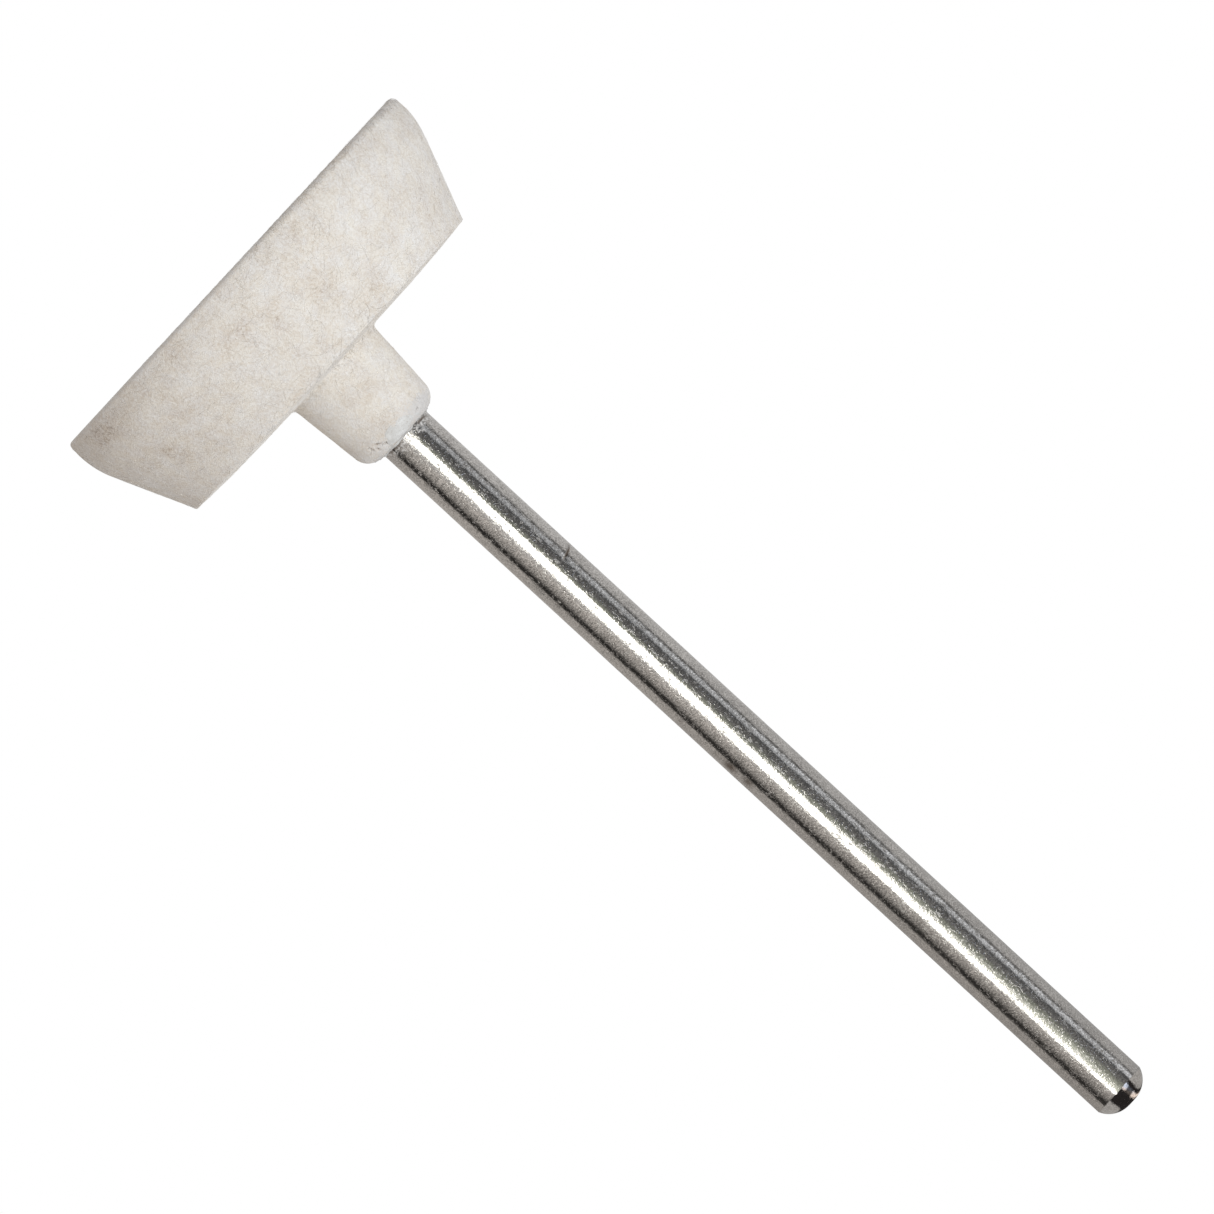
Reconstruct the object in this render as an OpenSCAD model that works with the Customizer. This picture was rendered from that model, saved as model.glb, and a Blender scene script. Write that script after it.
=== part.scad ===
// Felt polishing wheel on a mandrel, for a rotary tool.
// The flat working face lies on Z = 0, centred on the origin, and the shank points up +Z.
// Every piece is turned about Z, so each module revolves one half outline (radius, height).

/* [Felt wheel] */
// Largest diameter of the wheel, near its working face
wheel_d = 18.4; // [16:0.2:24]
// Thickness of the wheel, from the working face to the flat of the back face
wheel_t = 5.5; // [4.5:0.1:7]
// Angle between the straight flank and the wheel's axis
flank_angle = 22.2; // [10:0.2:30]
// Radius of the crowned edge, in section
crown_r = 3.7; // [2.5:0.1:4.5]
// Height of the crown's widest point above the working face
crown_z = 0.65; // [0.4:0.05:1.2]
// Rounding of the corner between the crown and the working face
face_corner_r = 0.3; // [0.1:0.05:0.4]
// Rounding of the back edge
back_corner_r = 0.1; // [0.05:0.05:0.5]
// Radius of the flat round the hub, outside which the back face falls away
back_flat_r = 3.5; // [3.2:0.1:4]
// Slope of the back face at its edge
back_slope = 4.6; // [2:0.2:8]

/* [Felt hub] */
// Length of the hub behind the wheel
hub_l = 3.75; // [2.5:0.05:6]
// Diameter of the hub where it leaves the wheel
hub_root_d = 4.5; // [4.2:0.05:5.4]
// Diameter of the hub just before its rounded end
hub_tip_d = 4.05; // [3.8:0.05:4.2]
// Fillet between the back face and the hub
hub_fillet_r = 0.1; // [0.05:0.05:0.4]
// Rounding of the hub's end
hub_end_r = 0.8; // [0.3:0.05:1]

/* [Mandrel] */
// Diameter of the shank, a standard size for small rotary tools
shank_d = 2.35; // [2.3:0.05:2.4]
// Overall length of the mandrel, with the end inside the felt
mandrel_l = 44.5; // [38:0.5:50]
// Length of the mandrel inside the felt head
embedded_l = 6.5; // [5.4:0.1:6.6]
// Radius of the domed free end, in section
end_r = 1.05; // [0.5:0.05:1.1]
// Angle between the dome and the shank where they meet, which leaves a faint ring edge
end_angle = 20; // [0:5:30]
// Diameter of the turned-down end inside the felt
neck_d = 2; // [1.6:0.1:2]
// Width of the chamfer on the end inside the felt
tip_chamfer = 0.3; // [0.1:0.05:0.5]
// Number of grooves that key the neck into the adhesive
groove_count = 4; // [2:1:4]
// Depth of each groove
groove_depth = 0.15; // [0.1:0.05:0.3]

/* [Adhesive] */
// Diameter of the felt's bore, which the adhesive fills round the neck
bore_d = 2.7; // [2.66:0.02:2.8]
// Adhesive under the end of the mandrel
glue_floor = 0.2; // [0.1:0.05:0.4]
// Height that the bead climbs up the shank above the hub
bead_h = 0.45; // [0.2:0.05:0.8]
// Width of the bead around the shank
bead_w = 0.34; // [0.3:0.02:0.4]

/* [Hidden] */
$fn = 96;

felt_colour = [0.88, 0.86, 0.81];
steel_colour = [0.62, 0.61, 0.59];
glue_colour = [0.74, 0.72, 0.68];

// Straight pieces in a quarter turn of a rounded outline
arc_steps = 18;

head_h = wheel_t + hub_l;
shank_r = shank_d / 2;
neck_r = neck_d / 2;
bore_r = bore_d / 2;
tip_z = head_h - embedded_l;
bore_z = tip_z - glue_floor;

groove_w = 0.4;
groove_pitch = 1.2;
// Height of the lowest groove's lower side
groove_z = tip_z + tip_chamfer + groove_w;

// The plain shank starts where the bead of adhesive ends
plain_z = head_h + bead_h;

// The dome's circle is centred a little off the axis, so the very end is a small flat
free_end_z = tip_z + mandrel_l;
dome_c = [shank_r - end_r * cos(end_angle), free_end_z - end_r];

// The crown's circle, and the circle inside it that rounds the working face's corner
crown_c = [wheel_d / 2 - crown_r, crown_z];
corner_rise = face_corner_r - crown_z;
corner_run = sqrt(pow(crown_r - face_corner_r, 2) - pow(corner_rise, 2));
corner_c = crown_c + [corner_run, corner_rise];
corner_angle = atan2(corner_rise, corner_run);

// The crown's circle touches the straight flank here
flank_out = [cos(flank_angle), sin(flank_angle)];
flank_start = crown_c + crown_r * flank_out;

// The back face falls away on a wide arc from its flat. The arc's radius is the one at which
// the back corner's circle touches both the arc's end and the flank.
slope_out = [sin(back_slope), cos(back_slope)];
back_flat = [back_flat_r, wheel_t];
back_r = (flank_out * (flank_start - back_flat + back_corner_r * slope_out) - back_corner_r)
    / (flank_out * (slope_out - [0, 1]));
back_c = back_flat - [0, back_r];
back_corner_c = back_c + (back_r - back_corner_r) * slope_out;

// The hub's taper, its fillet and its rounded end
hub_root_r = hub_root_d / 2;
hub_end_c = [hub_tip_d / 2 - hub_end_r, head_h - hub_end_r];
hub_fillet_c = [hub_root_r + hub_fillet_r, wheel_t + hub_fillet_r];

// The bead's sides: it starts inside the felt's rounded end and thins out up the shank
bead_z = head_h - hub_end_r / 2;
bead_r = shank_r + bead_w;
bead_edge = 0.02;

// Points along a circle, from angle a0 to angle a1
function arc(c, r, a0, a1) =
    let (n = max(2, ceil(abs(a1 - a0) / 90 * arc_steps)))
    [for (i = [0 : n]) let (a = a0 + (a1 - a0) * i / n) c + r * [cos(a), sin(a)]];

// Half outline of the felt head, with no bore
module head_outline() {
    polygon(concat(
        [[0, 0]],
        arc(corner_c, face_corner_r, -90, corner_angle),
        arc(crown_c, crown_r, corner_angle, flank_angle),
        arc(back_corner_c, back_corner_r, flank_angle, 90 - back_slope),
        arc(back_c, back_r, 90 - back_slope, 90),
        arc(hub_fillet_c, hub_fillet_r, 270, 180),
        arc(hub_end_c, hub_end_r, 0, 90),
        [[0, head_h]]
    ));
}

// Half outline of the blind bore that takes the mandrel, run on past the hub's end
module bore_outline() {
    translate([0, bore_z])
        square([bore_r, head_h - bore_z + hub_end_r]);
}

// Half outline of the mandrel: the keyed end, the plain shank and the domed free end
module mandrel_outline() {
    difference() {
        polygon(concat(
            [[0, tip_z], [neck_r - tip_chamfer, tip_z], [neck_r, tip_z + tip_chamfer]],
            [[neck_r, plain_z - (shank_r - neck_r)], [shank_r, plain_z]],
            arc(dome_c, end_r, end_angle, 90),
            [[0, free_end_z]]
        ));
        for (i = [0 : groove_count - 1])
            translate([neck_r - groove_depth, groove_z + i * groove_pitch])
                square([2 * groove_depth, groove_w]);
    }
}

// The wheel and its hub, turned from one blank of hard felt
module felt_head() {
    color(felt_colour) rotate_extrude() difference() {
        head_outline();
        bore_outline();
    }
}

// The plated steel mandrel: a rounded free end, and a grooved end inside the felt
module shank() {
    color(steel_colour) rotate_extrude() mandrel_outline();
}

// The adhesive: a sleeve that fills the bore and the grooves, and a bead at the hub's mouth
module glue_bond() {
    color(glue_colour) rotate_extrude() difference() {
        union() {
            translate([0, bore_z]) square([bore_r, head_h - bore_z]);
            polygon([
                [0, bead_z],
                [bead_r, bead_z],
                [bead_r, head_h],
                [shank_r + bead_w / 3, head_h + bead_h / 3],
                [shank_r + bead_edge, head_h + bead_h],
                [0, head_h + bead_h]
            ]);
        }
        difference() {
            head_outline();
            bore_outline();
        }
        mandrel_outline();
    }
}

felt_head();
shank();
glue_bond();
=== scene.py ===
"""The looks of a small felt polishing wheel on a mandrel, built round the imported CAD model.

The felt face lies on Z = 0 and the shank points up. Shapes are worked out in millimetres and
made in metres. Angles round the shank start at the camera's side, -Y, and grow towards -X.
"""
import math

import bpy
import numpy as np
from mathutils import Matrix, Vector, noise


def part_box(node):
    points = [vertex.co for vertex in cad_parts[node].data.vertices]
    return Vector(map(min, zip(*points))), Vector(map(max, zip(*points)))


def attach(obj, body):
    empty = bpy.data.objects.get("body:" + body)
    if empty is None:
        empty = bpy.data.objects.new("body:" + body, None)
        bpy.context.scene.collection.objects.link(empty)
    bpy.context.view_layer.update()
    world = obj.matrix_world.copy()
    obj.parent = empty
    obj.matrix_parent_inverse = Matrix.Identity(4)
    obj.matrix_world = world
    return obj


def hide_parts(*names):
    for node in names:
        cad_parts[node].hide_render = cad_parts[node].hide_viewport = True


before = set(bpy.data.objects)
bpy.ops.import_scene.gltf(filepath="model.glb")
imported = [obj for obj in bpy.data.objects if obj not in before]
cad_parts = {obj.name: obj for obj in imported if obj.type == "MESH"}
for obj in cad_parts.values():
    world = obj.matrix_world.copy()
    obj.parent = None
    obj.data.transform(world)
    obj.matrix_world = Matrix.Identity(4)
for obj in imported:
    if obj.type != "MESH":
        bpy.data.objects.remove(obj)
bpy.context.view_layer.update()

MM = 0.001

# ---------------------------------------------------------------- sizes, in millimetres
_, head_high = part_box("felt_head")
shank_low, shank_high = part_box("shank")
WHEEL_R = head_high.x / MM
HEAD_H = head_high.z / MM
SHANK_R = shank_high.x / MM
SHANK_END = shank_high.z / MM
SHANK_TIP = shank_low.z / MM

WHEEL_T = 5.5
FLANK_ANGLE = 22.2
CROWN_R = 3.7
CROWN_Z = 0.65
FACE_CORNER_R = 0.3
BACK_CORNER_R = 0.1
BACK_FLAT_R = 3.5
BACK_SLOPE = 4.6
HUB_ROOT_R = 2.25
HUB_TIP_R = 2.025
HUB_FILLET_R = 0.1
HUB_END_R = 0.8

NECK_R = 1.0
NECK_CHAMFER = 0.3
DOME_R = 1.05
DOME_ANGLE = 20.0
BORE_R = 1.35
GLUE_FLOOR = 0.2
BEAD_H = 0.45

# The bore's floor, and the middle of the circle that rounds the hub's end
BORE_Z = SHANK_TIP - GLUE_FLOOR
HUB_END_C = np.array([HUB_TIP_R - HUB_END_R, HEAD_H - HUB_END_R])
# The bore opens at this angle on that circle
LIP_ANGLE = math.degrees(math.acos((BORE_R - HUB_END_C[0]) / HUB_END_R))
# The mandrel's shoulder, out of sight in the adhesive
SHOULDER_Z = HEAD_H - BEAD_H
SHOULDER_TOP = SHOULDER_Z + 0.1

HEAD_COLUMNS = 448
SHANK_COLUMNS = 176
GLUE_COLUMNS = 192


# ---------------------------------------------------------------- outlines and meshes
def line(start, end, steps):
    """Points (radius, height) from start up to, but not at, end."""
    share = np.arange(steps)[:, None] / steps
    return np.array(start) + share * (np.array(end) - np.array(start))


def arc(centre, radius, first, last, steps):
    """Points (radius, height) round a circle from one angle, in degrees, up to another."""
    angles = np.radians(first + (last - first) * np.arange(steps) / steps)
    return np.array(centre) + radius * np.stack([np.cos(angles), np.sin(angles)], axis=1)


def on_circle(centre, radius, degrees):
    """The point (radius, height) at one angle on a circle."""
    angle = math.radians(degrees)
    return centre + radius * np.array([math.cos(angle), math.sin(angle)])


def turn(points, columns):
    """A grid of 3-D points: the outline (radius, height) turned about Z. Row i is points[i].
    points may have one outline for each column."""
    angles = np.arange(columns) * 2 * math.pi / columns
    outlines = np.broadcast_to(points, (columns, *points.shape[-2:]))
    radius, height = outlines[..., 0].T, outlines[..., 1].T
    return np.stack([-radius * np.sin(angles), -radius * np.cos(angles), height], axis=-1)


def skin(name, grid, material):
    """A closed piece from a grid of points in millimetres, whose first and last rows lie on the
    axis and close to one point each."""
    rows, columns = grid.shape[:2]
    inner = grid[1:-1].reshape(-1, 3)
    points = np.vstack([grid[0, :1], inner, grid[-1, :1]]) * MM
    here = 1 + np.arange((rows - 2) * columns).reshape(rows - 2, columns)
    after = np.roll(here, -1, axis=1)
    last = len(points) - 1
    faces = np.stack([here[:-1], here[1:], after[1:], after[:-1]], axis=-1).reshape(-1, 4).tolist()
    faces += [[0, a, b] for a, b in zip(here[0], after[0])]
    faces += [[last, b, a] for a, b in zip(here[-1], after[-1])]
    return piece(name, points, faces, material)


def show(name, data):
    """A new object in the scene."""
    made = bpy.data.objects.new(name, data)
    bpy.context.scene.collection.objects.link(made)
    return made


def piece(name, points, faces, material):
    """A smooth-shaded mesh object that rides on the one body."""
    mesh = bpy.data.meshes.new(name)
    mesh.from_pydata(points.tolist(), [], faces)
    mesh.polygons.foreach_set("use_smooth", [True] * len(mesh.polygons))
    mesh.materials.append(material)
    mesh.validate()
    made = show(name, mesh)
    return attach(made, "root")


def normals_of(grid):
    """Outward unit normals of a turned grid."""
    along = np.gradient(grid, axis=0)
    around = np.roll(grid, -1, axis=1) - np.roll(grid, 1, axis=1)
    normal = np.cross(along, around)
    length = np.linalg.norm(normal, axis=-1, keepdims=True)
    return normal / np.maximum(length, 1e-9)


def wander(points, period, seed):
    """Smooth noise from about -1 to 1 at each point, with features about period mm wide."""
    shift = Vector((seed, 2 * seed, 3 * seed))
    flat = (points.reshape(-1, 3) / period).tolist()
    values = [noise.noise(Vector(p) + shift) for p in flat]
    return np.array(values).reshape(points.shape[:-1])


def layered(points, layers):
    """The sum of some noises, each with (strength, period, seed)."""
    return sum(strength * wander(points, period, seed) for strength, period, seed in layers)


def smooth(low, high, x):
    """0 at low, 1 at high and a smooth step between."""
    t = np.clip((x - low) / (high - low), 0, 1)
    return t * t * (3 - 2 * t)


def mark_share(points, place, size, slant=0.0):
    """1 at a mark's middle and 0 away from it. place is (angle round the shank, height), size is
    (around, along), and slant is how far the mark climbs for each mm that it runs round."""
    angle = np.degrees(np.arctan2(-points[..., 0], -points[..., 1]))
    apart = np.radians((angle - place[0] + 180) % 360 - 180)
    around = apart * np.hypot(points[..., 0], points[..., 1])
    along = points[..., 2] - place[1] - slant * around
    return np.exp(-((around / size[0]) ** 2) - (along / size[1]) ** 2)


def paint(made, name, values):
    """Keeps one number for each point of the mesh, for its material."""
    layer = made.data.attributes.new(name, "FLOAT", "POINT")
    layer.data.foreach_set("value", values.astype(np.float32).ravel())


def grid_values(values):
    """Values of a turned grid, one for each point of the mesh that skin makes from it."""
    return np.concatenate([values[0, :1], values[1:-1].ravel(), values[-1, :1]])


# ---------------------------------------------------------------- shader building
def feed(tree, socket, value):
    """Links value to the socket if it is one itself, and sets it otherwise."""
    if isinstance(value, bpy.types.NodeSocket):
        tree.links.new(value, socket)
    else:
        socket.default_value = value


def maths(tree, operation, *values):
    node = tree.nodes.new("ShaderNodeMath")
    node.operation = operation
    for socket, value in zip(node.inputs, values):
        feed(tree, socket, value)
    return node.outputs[0]


def spread(tree, value, low, high, to_low=0.0, to_high=1.0):
    """Maps low..high to to_low..to_high with a smooth step."""
    node = tree.nodes.new("ShaderNodeMapRange")
    node.interpolation_type = "SMOOTHSTEP"
    for socket, number in zip(node.inputs, (value, low, high, to_low, to_high)):
        feed(tree, socket, number)
    return node.outputs[0]


# A colour mix node's sockets for its two colours and for the result
COLOUR_A, COLOUR_B, COLOUR_OUT = 6, 7, 2


def mix(tree, factor, a, b, blend="MIX"):
    """A mix of two colours."""
    node = tree.nodes.new("ShaderNodeMix")
    node.data_type = "RGBA"
    node.blend_type = blend
    feed(tree, node.inputs["Factor"], factor)
    for socket, colour in ((COLOUR_A, a), (COLOUR_B, b)):
        linked = isinstance(colour, bpy.types.NodeSocket)
        feed(tree, node.inputs[socket], colour if linked else (*colour, 1))
    return node.outputs[COLOUR_OUT]


def dim(tree, colour, factor):
    """A colour times a number."""
    node = tree.nodes.new("ShaderNodeVectorMath")
    node.operation = "SCALE"
    feed(tree, node.inputs[0], colour)
    feed(tree, node.inputs["Scale"], factor)
    return node.outputs[0]


def painted(tree, name):
    """A number kept on the mesh by paint."""
    node = tree.nodes.new("ShaderNodeAttribute")
    node.attribute_name = name
    return node.outputs["Fac"]


def ramp(tree, factor, stops):
    """A colour ramp with stops (place, colour)."""
    node = tree.nodes.new("ShaderNodeValToRGB")
    elements = node.color_ramp.elements
    elements.remove(elements[1])
    elements[0].position = stops[0][0]
    elements[0].color = (*stops[0][1], 1)
    for place, colour in stops[1:]:
        elements.new(place).color = (*colour, 1)
    feed(tree, node.inputs["Fac"], factor)
    return node.outputs["Color"]


def surface_mm(tree):
    """The surface point in millimetres."""
    where = tree.nodes.new("ShaderNodeTexCoord")
    scale = tree.nodes.new("ShaderNodeVectorMath")
    scale.operation = "SCALE"
    scale.inputs["Scale"].default_value = 1 / MM
    tree.links.new(where.outputs["Object"], scale.inputs[0])
    return scale.outputs[0]


def grain(tree, where, period, detail, turned=(0, 0, 0), stretch=(1, 1, 1)):
    """Noise with features about period mm wide, turned and then stretched along its own axes.
    Nearly all of it lies between 0.3 and 0.7, so that is what spread is told to widen."""
    mapping = tree.nodes.new("ShaderNodeMapping")
    mapping.vector_type = "TEXTURE"
    mapping.inputs["Rotation"].default_value = [math.radians(a) for a in turned]
    mapping.inputs["Scale"].default_value = [period * s for s in stretch]
    tree.links.new(where, mapping.inputs["Vector"])
    node = tree.nodes.new("ShaderNodeTexNoise")
    node.inputs["Scale"].default_value = 1.0
    node.inputs["Detail"].default_value = detail
    tree.links.new(mapping.outputs[0], node.inputs["Vector"])
    return node.outputs["Fac"]


def bump(tree, shader, height, distance):
    """Bumps whose height of 1 is distance mm."""
    node = tree.nodes.new("ShaderNodeBump")
    node.inputs["Distance"].default_value = distance * MM
    tree.links.new(height, node.inputs["Height"])
    tree.links.new(node.outputs[0], shader.inputs["Normal"])


def set_inputs(shader, values):
    """Sets the shader's own numbers and colours by their names."""
    for name, value in values.items():
        shader.inputs[name].default_value = value


def new_material(name):
    """(material, node tree, Principled shader)"""
    material = bpy.data.materials.new(name)
    material.use_nodes = True
    tree = material.node_tree
    return material, tree, tree.nodes["Principled BSDF"]


# ---------------------------------------------------------------- materials
# Felt from its tan patches to its white blotches
FELT_TONES = [
    (0.00, (0.360, 0.290, 0.235)),
    (0.12, (0.640, 0.560, 0.480)),
    (0.28, (0.725, 0.657, 0.582)),
    (0.50, (0.795, 0.742, 0.676)),
    (0.75, (0.850, 0.811, 0.757)),
    (1.00, (0.895, 0.873, 0.838)),
]
# Patches of wool are a little warmer or cooler than the next
FELT_COOL = (0.994, 1.000, 1.014)
FELT_WARM = (1.008, 1.000, 0.980)
# Greyer felt: painted shade along the rim's two edges, and rubbed felt with painted shade round the
# hub's end, and its greatest share
FELT_RUB_AND_SHADE = (0.660, 0.643, 0.630)
FELT_RUB_AND_SHADE_SHARE = 0.8
# How ragged the flecks make the greyer felt of the rubbed places and the painted shade
EDGE_RAGGED = 0.2

# Widths of the felt's details, in mm
FLECK = 0.11
WARM_PATCH = 0.55
STRAND = 0.05
FIBRE_SCALE = 0.03
# How the felt's matted strands are turned, in degrees, and how long they are for their width
STRAND_TURNS = ((20, 35, 0), (75, -20, 50), (-40, 60, 110), (10, 85, 25))
STRAND_STRETCH = (1, 7, 1)
STRAND_HEIGHT = 0.006
# How much the finest grain changes the tone of the skin, and of a single fibre
SKIN_CONTRAST = 0.15
FIBRE_CONTRAST = 0.12
FIBRE_ROUGH = (0.75, 0.95)


def felt_colour(tree, where, fine, contrast):
    """Mottled wool: the painted tone, broken up by a fine grain, and greyer along the edges, with
    painted shade there and rubbed felt round the hub's end.
    """
    flecks = spread(tree, grain(tree, where, FLECK, 3.0), 0.33, 0.67, -1.0, 1.0)
    value = maths(tree, "MULTIPLY_ADD", fine, contrast, painted(tree, "tone"))
    value = maths(tree, "MULTIPLY_ADD", flecks, contrast, value)
    warmth = spread(tree, grain(tree, where, WARM_PATCH, 2.0), 0.36, 0.64)
    tint = mix(tree, warmth, FELT_COOL, FELT_WARM)
    wool = mix(tree, 1.0, ramp(tree, value, FELT_TONES), tint, "MULTIPLY")
    # The greyer edges: painted shade along the wheel's edges, rubbed felt and painted shade round
    # the hub's end
    amount = maths(tree, "MULTIPLY_ADD", flecks, EDGE_RAGGED, painted(tree, "edge"))
    return mix(tree, spread(tree, amount, 0.1, 1.0, 0.0, FELT_RUB_AND_SHADE_SHARE), wool, FELT_RUB_AND_SHADE)


def felt_material():
    """Pressed wool: flat matted strands in every direction, with no sheen to speak of."""
    material, tree, shader = new_material("felt")
    where = surface_mm(tree)
    strands = None
    for turned in STRAND_TURNS:
        strand = grain(tree, where, STRAND, 1.0, turned, STRAND_STRETCH)
        strands = strand if strands is None else maths(tree, "MAXIMUM", strands, strand)
    fine = spread(tree, strands, 0.5, 0.78, -1.0, 1.0)
    tree.links.new(felt_colour(tree, where, fine, SKIN_CONTRAST), shader.inputs["Base Color"])
    bump(tree, shader, fine, STRAND_HEIGHT)
    set_inputs(shader, {
        "Roughness": 0.95,
        "Specular IOR Level": 0.1,
        "Sheen Weight": 0.1,
        "Sheen Roughness": 0.6,
    })
    return material


def fibre_material():
    """Single wool fibres, each paler or darker than the next, with scales along them."""
    material, tree, shader = new_material("wool_fibre")
    where = surface_mm(tree)
    scales = spread(tree, grain(tree, where, FIBRE_SCALE, 1.0), 0.35, 0.65, -1.0, 1.0)
    colour = felt_colour(tree, where, scales, FIBRE_CONTRAST)
    tree.links.new(colour, shader.inputs["Base Color"])
    tree.links.new(spread(tree, scales, -1.0, 1.0, *FIBRE_ROUGH), shader.inputs["Roughness"])
    set_inputs(shader, {"Specular IOR Level": 0.15, "Sheen Weight": 0.1})
    return material


# Plating where it is bright and where it is cloudy
PLATING = ((0.72, 0.701, 0.680), (0.66, 0.642, 0.623))
# The dried film at the hub's mouth, from its dark spots to its pale ones
FILM = ((0.54, 0.515, 0.49), (0.76, 0.74, 0.715))
# The colour of dirt, and of the painted shade at the hub's mouth
SOIL_AND_SHADE = (0.20, 0.165, 0.14)
# Heights between which the film ends, less FILM_RAGGED times a noise of about 0.5
FILM_END = (HEAD_H - 0.65, HEAD_H - 0.25)
FILM_RAGGED = 1.5
# Heights between which the dome begins, and its share of dots and pits
DOME_START = (SHANK_END - 1.15, SHANK_END - 0.95)
DOME_WORN = 0.25
# Widths of the plating's details, in mm
DRAWN_LINE = 0.05
CLOUD = 0.6
DOT = 0.10
PIT = 0.10
GRIT = 0.10
SPECK = 0.062
FILM_TATTER = 0.18
# How much a speck darkens or lightens the plating, and how dirty a pit is
SPECK_SHADES = (0.83, 1.17)
PIT_SOIL = 0.25
# The strength of the dull dots where the plating is bright and where it is cloudy
DOT_SHARES = (0.45, 1.40)
# Roughness of the plating, and what a dull dot and the film add to it
PLATING_ROUGH = (0.05, 0.10)
DOT_ROUGH = 0.36
FILM_ROUGH = 0.08
# How much of the metal the film hides
FILM_COVER = (0.15, 0.80)
# Height of the grit in mm, then of the lines and pits for each mm of that, and how much coarser
# the film makes the grit
GRIT_HEIGHT = 0.005
LINE_HEIGHT = 0.25
PIT_HEIGHT = -0.8
FILM_HEIGHT = 1.5


def steel_material():
    """Dull plating: drawn lines along the shank, fine pits, specks and a film of dried glue."""
    material, tree, shader = new_material("plated_steel")
    where = surface_mm(tree)
    place = tree.nodes.new("ShaderNodeSeparateXYZ")
    tree.links.new(where, place.inputs[0])
    drawn = grain(tree, where, DRAWN_LINE, 2.0, stretch=(1, 1, 40))
    cloudy = grain(tree, where, CLOUD, 3.0, stretch=(1, 1, 2.5))
    grit = grain(tree, where, GRIT, 2.0)
    specks = spread(tree, grain(tree, where, SPECK, 1.0), 0.36, 0.64, -1.0, 1.0)
    amount = spread(tree, place.outputs["Z"], *DOME_START, 1.0, DOME_WORN)
    dots = spread(tree, grain(tree, where, DOT, 2.0, stretch=(1, 1, 2.2)), 0.56, 0.66)
    dots = maths(tree, "MULTIPLY", dots, spread(tree, cloudy, 0.35, 0.65, *DOT_SHARES))
    dots = maths(tree, "MULTIPLY", dots, amount)
    pits = spread(tree, grain(tree, where, PIT, 1.0), 0.59, 0.70)
    pits = maths(tree, "MULTIPLY", pits, amount)
    tatters = grain(tree, where, FILM_TATTER, 3.0)
    ragged = maths(tree, "MULTIPLY_ADD", tatters, -FILM_RAGGED, place.outputs["Z"])
    film = spread(tree, ragged, *FILM_END, 1.0, 0.0)

    plating = mix(tree, spread(tree, cloudy, 0.35, 0.7), *PLATING)
    plating = dim(tree, plating, spread(tree, specks, -1.0, 1.0, *SPECK_SHADES))
    dull = mix(tree, spread(tree, grit, 0.4, 0.6), *FILM)
    dirt = maths(tree, "MULTIPLY", pits, PIT_SOIL)
    # Dirt in the pits, and the marks' dirt and painted shade
    dark = maths(tree, "MAXIMUM", dirt, painted(tree, "soil_and_shade"))
    colour = mix(tree, dark, mix(tree, film, plating, dull), SOIL_AND_SHADE)
    tree.links.new(colour, shader.inputs["Base Color"])

    rough = spread(tree, cloudy, 0.3, 0.75, *PLATING_ROUGH)
    rough = maths(tree, "MULTIPLY_ADD", dots, DOT_ROUGH, rough)
    rough = maths(tree, "MULTIPLY_ADD", film, FILM_ROUGH, rough)
    tree.links.new(rough, shader.inputs["Roughness"])
    flaky = maths(tree, "MULTIPLY", film, spread(tree, grit, 0.42, 0.56, *FILM_COVER))
    tree.links.new(maths(tree, "SUBTRACT", 1.0, flaky), shader.inputs["Metallic"])

    pitted = maths(tree, "MULTIPLY", pits, PIT_HEIGHT)
    height = maths(tree, "MULTIPLY_ADD", drawn, LINE_HEIGHT, pitted)
    coarse = maths(tree, "MULTIPLY_ADD", film, FILM_HEIGHT, 1.0)
    height = maths(tree, "MULTIPLY_ADD", grit, coarse, height)
    bump(tree, shader, height, GRIT_HEIGHT)
    return material


# Adhesive where it is thin and where it is clotted, and the specks in it
GLUE = ((0.65, 0.640, 0.615), (0.75, 0.745, 0.725))
GLUE_SPECK = (0.47, 0.43, 0.385)
# Widths of both, in mm, the height of a clot, and the roughness
CLOT = 0.35
GLUE_SPECK_WIDTH = 0.07
CLOT_HEIGHT = 0.02
GLUE_ROUGH = (0.5, 0.8)


def glue_material():
    """Dried adhesive: greyish white and uneven, with loose fibres stuck in it."""
    material, tree, shader = new_material("adhesive")
    where = surface_mm(tree)
    clots = grain(tree, where, CLOT, 4.0)
    specks = grain(tree, where, GLUE_SPECK_WIDTH, 2.0)
    colour = mix(tree, spread(tree, clots, 0.35, 0.65), *GLUE)
    colour = mix(tree, spread(tree, specks, 0.55, 0.72, 0.0, 0.6), colour, GLUE_SPECK)
    tree.links.new(colour, shader.inputs["Base Color"])
    tree.links.new(spread(tree, clots, 0.3, 0.7, *GLUE_ROUGH), shader.inputs["Roughness"])
    bump(tree, shader, maths(tree, "MULTIPLY_ADD", specks, 0.5, clots), CLOT_HEIGHT)
    return material


# ---------------------------------------------------------------- felt head
# Rows at the end of the head's outline that lie at the hub's mouth or in the bore
BORE_ROWS = 8


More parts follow.
